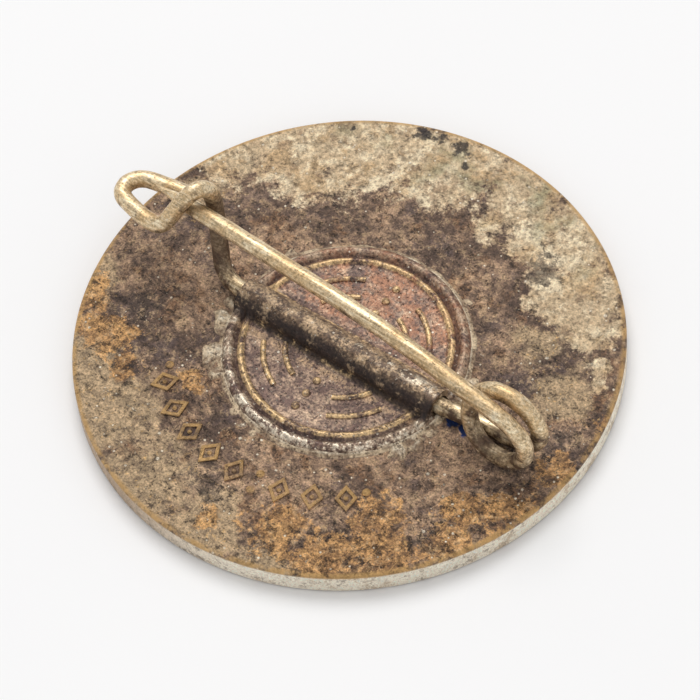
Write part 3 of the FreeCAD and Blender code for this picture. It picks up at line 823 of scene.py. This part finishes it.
def solder_height(radius, bearing):
    angle = math.radians(bearing)
    spot = Vector((math.cos(angle), math.sin(angle), 0.0))
    sway = noise.noise(spot * 4.1) + 0.6 * noise.noise(spot * 11.0)
    width = 0.34 + 0.16 * sway
    out = max(radius - plate_radius, 0.0) / max(width, 0.08)
    height = (0.2 + 0.08 * noise.noise(spot * 7.3 + Vector((5, 0, 0)))) * max(1 - out, 0.0) ** 1.6
    for place_at, reach, size, tall in LUMPS:
        turn = (bearing - place_at + 180) % 360 - 180
        ripple = noise.noise(Vector((bearing * 0.21, radius * 2.2, 1.0)))
        flake = noise.noise(Vector((bearing * 0.6, radius * 6.0, 4.0)))
        gap = math.hypot(math.radians(turn) * 6.0, radius - reach) / size + 0.5 * ripple
        height = max(height, tall * (0.8 + 0.5 * flake) * max(1 - gap * gap, 0.0) ** 0.6 if gap < 1 else 0.0)
    return back - 0.03 + 0.85 * height


ring = [(plate_radius - 0.12 + 1.0 * n / SOLDER_ROWS, 0.0) for n in range(SOLDER_ROWS + 1)]
solder = spun("solder_fillet", ring, 480, closed=False)
for vertex in solder.data.vertices:
    bearing = math.degrees(math.atan2(vertex.co.y, vertex.co.x)) % 360
    vertex.co.z = solder_height(math.hypot(vertex.co.x, vertex.co.y), bearing)
solder.data.transform(Matrix.Translation((plate_middle.x, plate_middle.y, 0)))
press_on(solder, "SOLIDIFY", thickness=0.06, offset=-1.0 if solder.data.polygons[0].normal.z > 0 else 1.0)


def solder_finish():
    f = Finish("soft_solder_grey")
    lumps = f.grain(0.5, 6.0, 0.65)
    fine = f.grain(0.1, 3.0, 0.6)
    thick = f.z.rise(back + 0.06, back + 0.2)
    colour = f.tint(lumps.rise(0.35, 0.65), paint(128, 104, 82), paint(208, 186, 154))
    colour = f.tint(thick * lumps.rise(0.3, 0.5), colour, paint(228, 214, 190))
    thin = f.z.rise(back + 0.03, back)
    colour = f.tint(thin * 0.8, colour, paint(110, 88, 74))
    pits = f.grain(0.2, 5.0, 0.7).rise(0.46, 0.34)
    colour = f.tint(pits * 0.8, colour, paint(96, 76, 62))
    colour = f.shade(colour, 1 + (fine - 0.5) * 2.0)
    return f.surface(
        Base_Color=colour, Metallic=0.12, Roughness=0.58 + (fine - 0.5) * 0.3,
        Normal=f.bumps(lumps * 0.6 + fine * 0.4 - pits * 0.4, 0.7, 0.08),
    )


place(solder, solder_finish(), smooth=math.radians(60))
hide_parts("solder_seam")

# %% [markdown]
# ## The wire
# Catch, coil and needle are one length of brass spring wire, bent by hand with pliers. A smooth
# NURBS line through a few bends, with a round bevel, is how wire behaves: the bends stay round
# and the thickness stays true. It is converted to a mesh, and faint dents are pressed into it.

# %% The routes, in millimetres, as in the CAD model
wire_height = 1.56
bar_end = (5.75, barrel_y, wire_height)
CATCH_ROUTE = [
    (5.9, barrel_y, wire_height), (0.0, barrel_y, wire_height), (-5.75, barrel_y, wire_height),
    (-6.75, -0.42, 1.88), (-7.1, 0.0, 2.75), (-7.45, 0.4, 3.9), (-7.72, 0.7, 5.2),
    (-7.85, 0.6, 6.05), (-8.1, 0.05, 6.45), (-8.4, -0.55, 6.1), (-8.75, -1.05, 5.3),
    (-9.1, -1.45, 4.6), (-9.9, -1.45, 4.35), (-11.0, -1.25, 4.4), (-11.85, -1.0, 4.4),
    (-12.08, -0.4, 4.4), (-11.75, 0.2, 4.4), (-11.0, 0.5, 4.4), (-9.2, 0.72, 4.4),
]
NEEDLE_ROUTE = [
    (9.52, -1.48, 4.9), (8.6, -1.42, 5.05), (6.9, -1.31, 5.32), (4.0, -1.1, 5.7), (0.6, -0.85, 5.73),
    (-2.6, -0.62, 5.58), (-5.2, -0.42, 5.42), (-7.6, -0.25, 5.26), (-8.6, -0.17, 5.19),
    (-9.5, -0.1, 5.13), (-10.2, -0.05, 5.08), (-10.49, -0.03, 5.06),
]
NEEDLE_RADII = [1, 1, 1, 1, 1, 1, 1, 1, 0.9, 0.55, 0.24, 0.08]
coil_x, coil_height, coil_radius = 9.2, 3.25, 1.68
FIRST_TURN_Y, SECOND_TURN_Y = -0.38, -1.48
SIDES = 12


def coil_point(degrees, radius):
    share = min(max((degrees - 90.0) / 180.0, 0.0), 1.0)
    y = FIRST_TURN_Y + (SECOND_TURN_Y - FIRST_TURN_Y) * share * share * (3 - 2 * share)
    angle = math.radians(degrees)
    return (coil_x + radius * math.cos(angle), y, coil_height + radius * math.sin(angle))


corner_radius = coil_radius / math.cos(math.pi / SIDES)
coil_route = [bar_end, (7.4, -0.5, coil_height - coil_radius)]
degrees = -90.0 + 180.0 / SIDES
while degrees < 439.0 - 10.0:
    coil_route.append(coil_point(degrees, corner_radius))
    degrees += 360.0 / SIDES
coil_route.append(NEEDLE_ROUTE[0])
lead = Vector(coil_route[-2]) - Vector(NEEDLE_ROUTE[0])
NEEDLE_ROUTE.insert(0, tuple(Vector(NEEDLE_ROUTE[0]) + lead.normalized() * 0.35))
NEEDLE_RADII.insert(0, 0.985)

# %% [markdown]
# One tool makes all three pieces. The needle starts a little way inside the coil's end, so that
# no seam shows where the wire goes from one piece to the next.

# %% The three pieces of wire
dents = bpy.data.textures.new("plier_dents", "CLOUDS")
dents.noise_scale = 0.7
dents.noise_depth = 2


def spring_wire(name, route, radii=None):
    piece = tube(name, route, wire_radius, radii, smoothness=14, sides=7)
    edit(piece, merge_and_face_out)
    return press_on(piece, "DISPLACE", texture=dents, strength=0.03, mid_level=0.5, texture_coords="LOCAL")


catch = spring_wire("catch_and_bar", CATCH_ROUTE)
coil = spring_wire("coil_turns", coil_route)
needle = spring_wire("needle_shaft", NEEDLE_ROUTE, NEEDLE_RADII)
print("wire points:", [len(p.data.vertices) for p in (catch, coil, needle)])

# %% [markdown]
# The wire's colour holds painted light: faces that look up and parts higher above the plate are
# painted pale gold, and the undersides and parts low down by the plate brown, as painted shade. So
# the finish looks at which way the surface faces, and at its height. Fine streaks run the way the
# wire was drawn, and small dark nicks break the shine.

# %% The wire's finish


def wire_brass(name, shaded_post):
    """Brass wire; the second argument is 1 where the top of the catch's upright is painted darker, as
    painted shade.
    """
    f = Finish(name)
    lumps = f.grain(0.6, 6.0, 0.65)
    fine = f.grain(0.12, 4.0, 0.65)
    streaks = f.grain(1.0, 3.0, 0.6, at=f.stretched(4, (3.0, 0.09, 0.12)))
    # Painted light: faces that look up and parts higher above the plate are painted paler, the undersides
    # and parts low by the plate darker as painted shade, and lumps break it up.
    up = f.parts(f.facing)[2]
    high = f.z.rise(1.7, 4.4)
    top_light_and_clean = ((up * 0.5 + 0.5) * 0.75 + high * 0.45 + (lumps - 0.5) * 3.2).rise(0.2, 0.95)
    # Painted shade: the top of the catch's upright is painted darker where the second argument is 1.
    post = f.x.rise(-8.4, -8.0) * f.x.rise(-6.0, -6.5) * f.z.rise(6.1, 5.4) * f.y.rise(-0.9, -0.5)
    # Darker inside the coil: crust lodged between the turns, and painted shade there.
    round_coil = f.vector("DISTANCE", [f.vector("MULTIPLY", [f.at, (1, 0, 1)]), (9.2, 0, 3.25)], "Value")
    inside = round_coil.rise(1.7, 1.45) * f.x.rise(6.9, 7.3)
    top_light_and_clean = top_light_and_clean * (1 - post * 0.85 * shaded_post) * (1 - inside * (0.9 - lumps * 0.6))
    colour = f.tint(top_light_and_clean, paint(90, 70, 54), paint(208, 182, 142))
    # The pale streaks go only where the top light is painted, so they are partly painted highlight.
    pale = top_light_and_clean * (streaks * 0.6 + lumps * 0.5).rise(0.48, 0.7)
    colour = f.tint(pale * 0.8, colour, paint(228, 214, 186))
    warm = f.grain(1.6, 4.0).rise(0.46, 0.62) * top_light_and_clean
    colour = f.tint(warm * 0.5, colour, paint(190, 154, 104))
    dirt = f.grain(0.28, 6.0, 0.75).rise(0.42, 0.33)
    colour = f.tint(dirt * (0.85 - top_light_and_clean * 0.35), colour, paint(62, 50, 42))
    nicks = f.specks(0.3, 0.3, 0.2)
    colour = f.tint(nicks * 0.6, colour, paint(232, 222, 200))
    colour = f.shade(colour, 1.06 + (fine - 0.5) * 2.4 + (streaks - 0.5) * 1.3)
    roughness = 0.5 - top_light_and_clean * 0.1 + (fine - 0.5) * 0.3 + dirt * 0.15
    return f.surface(
        Base_Color=colour, Metallic=0.4 + top_light_and_clean * 0.3, Roughness=roughness,
        Normal=f.bumps(lumps * 0.4 + streaks * 0.3 + fine * 0.3 - dirt * 0.4, 0.5, 0.05),
    )


rubbed = wire_brass("drawn_brass_wire", 0.0)
shaded_post = wire_brass("brass_wire_with_painted_post_shade", 1.0)
for piece, finish, body, node in (
    (catch, shaded_post, "badge", "catch_wire"), (coil, rubbed, None, "spring_coil"),
    (needle, rubbed, "needle", "needle"),
):
    place(piece, finish, body, smooth=math.radians(60))
    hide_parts(node)
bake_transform(coil)

# %% [markdown]
# ## Enamel
# Enamel is glass, fired into the cells and ground flush. The CAD fills already have the right
# shape, so they stay and only get their glass: deep even colour, a slight cloudiness where the
# firing left it, a few pinholes, and a hard clear shine.

# %% Enamel on the CAD fills


def enamel(name, deep, light, speck):
    f = Finish(name)
    cloud = f.grain(2.6, 5.0, 0.6)
    swirl = f.grain(0.9, 4.0, 0.6, distortion=0.6)
    colour = f.tint((cloud * 0.7 + swirl * 0.4).rise(0.4, 0.75), deep, light)
    holes = f.specks(0.8, 0.1)
    colour = f.tint(holes * 0.8, colour, speck)
    scuffs = f.grain(1.0, 2.0, at=f.stretched(35, (0.05, 3.0, 1.0))).rise(0.66, 0.76)
    return f.surface(
        Base_Color=colour, Roughness=0.1 + scuffs * 0.2 + holes * 0.4, Coat_Weight=0.6,
        Normal=f.bumps(cloud * 0.5 - holes * 0.6 - scuffs * 0.1, 0.3, 0.03),
    )


glazes = {
    "blue_enamel": enamel("cobalt_enamel", paint(18, 38, 92), paint(34, 66, 138), paint(10, 14, 30)),
    "white_enamel": enamel("ivory_enamel", paint(214, 208, 190), paint(236, 232, 220), paint(90, 78, 60)),
    "yellow_enamel": enamel("ochre_enamel", paint(176, 118, 30), paint(214, 158, 56), paint(70, 44, 16)),
}
slot_of = {entry["node"]: entry["material_slot"] for entry in frame["record"]["subparts"]}
for node in FILLS:
    mesh = frame["nodes"][node].data
    mesh.materials.clear()
    mesh.materials.append(glazes[slot_of[node]])
print("enamel fills:", len(FILLS))

# %% [markdown]
# ## The studio
# A pale floor, a broad soft light above and to the far left, and a weak one opposite, so the
# wire keeps a highlight along its top and a soft shadow falls towards the lower right. The floor
# is a hair below the badge's front face, which lies on it.

# %% Floor, lights and world
bpy.ops.object.select_all(action="DESELECT")
bpy.ops.mesh.primitive_plane_add(size=4.0, location=(0, 0, -0.00003))
floor = named("floor")
floor_finish = Finish("pale_paper")
paper = floor_finish.grain(40.0, 3.0)
tone = floor_finish.tint(paper, paint(243, 243, 244), paint(247, 247, 248))
floor.data.materials.append(floor_finish.surface(Base_Color=tone, Roughness=0.9))


def soft_light(name, position, size, power, colour=(1, 1, 1)):
    data = bpy.data.lights.new(name, "AREA")
    data.shape = "DISK"
    data.size = size
    data.energy = power
    data.color = colour
    light = bpy.data.objects.new(name, data)
    bpy.context.scene.collection.objects.link(light)
    light.location = position
    light.rotation_euler = (-Vector(position)).to_track_quat("-Z", "Y").to_euler()


soft_light("key", (-0.3, 0.3, 0.72), 0.6, 3.6, (1.0, 0.985, 0.96))
soft_light("fill", (0.3, -0.2, 0.3), 0.4, 0.2, (0.96, 0.98, 1.0))
world = bpy.data.worlds.new("studio")
world.use_nodes = True
world.node_tree.nodes["Background"].inputs["Color"].default_value = (1, 1, 1, 1)
world.node_tree.nodes["Background"].inputs["Strength"].default_value = 0.595
bpy.context.scene.world = world
bpy.context.scene.view_settings.view_transform = "Standard"

# %% [markdown]
# The camera looks down at the back of the badge from the side where the marks are, across the
# barrel, with a long lens and a slight tilt, as a hand would hold it.

# %% Camera
AZIMUTH, ELEVATION, ROLL = math.radians(42.3), math.radians(55.28), math.radians(-6.86)
DISTANCE = 0.2004
AIM = Vector((-0.000174, 0.000221, 0.0))
SENSOR = 36.0
LENS = 4432 / 700 * SENSOR

backwards = Vector((math.sin(AZIMUTH) * math.cos(ELEVATION), -math.cos(AZIMUTH) * math.cos(ELEVATION),
                    math.sin(ELEVATION)))
level = Vector((math.cos(AZIMUTH), math.sin(AZIMUTH), 0))
upright = backwards.cross(level)
right = level * math.cos(ROLL) + upright * math.sin(ROLL)
top = upright * math.cos(ROLL) - level * math.sin(ROLL)
camera_data = bpy.data.cameras.new("camera")
camera_data.lens = LENS
camera_data.sensor_width = SENSOR
camera_data.clip_start = 0.01
camera_data.clip_end = 20.0
camera = bpy.data.objects.new("camera", camera_data)
bpy.context.scene.collection.objects.link(camera)
turn = Matrix((right, top, backwards)).transposed().to_4x4()
camera.matrix_world = Matrix.Translation(AIM + backwards * DISTANCE) @ turn
bpy.context.scene.camera = camera
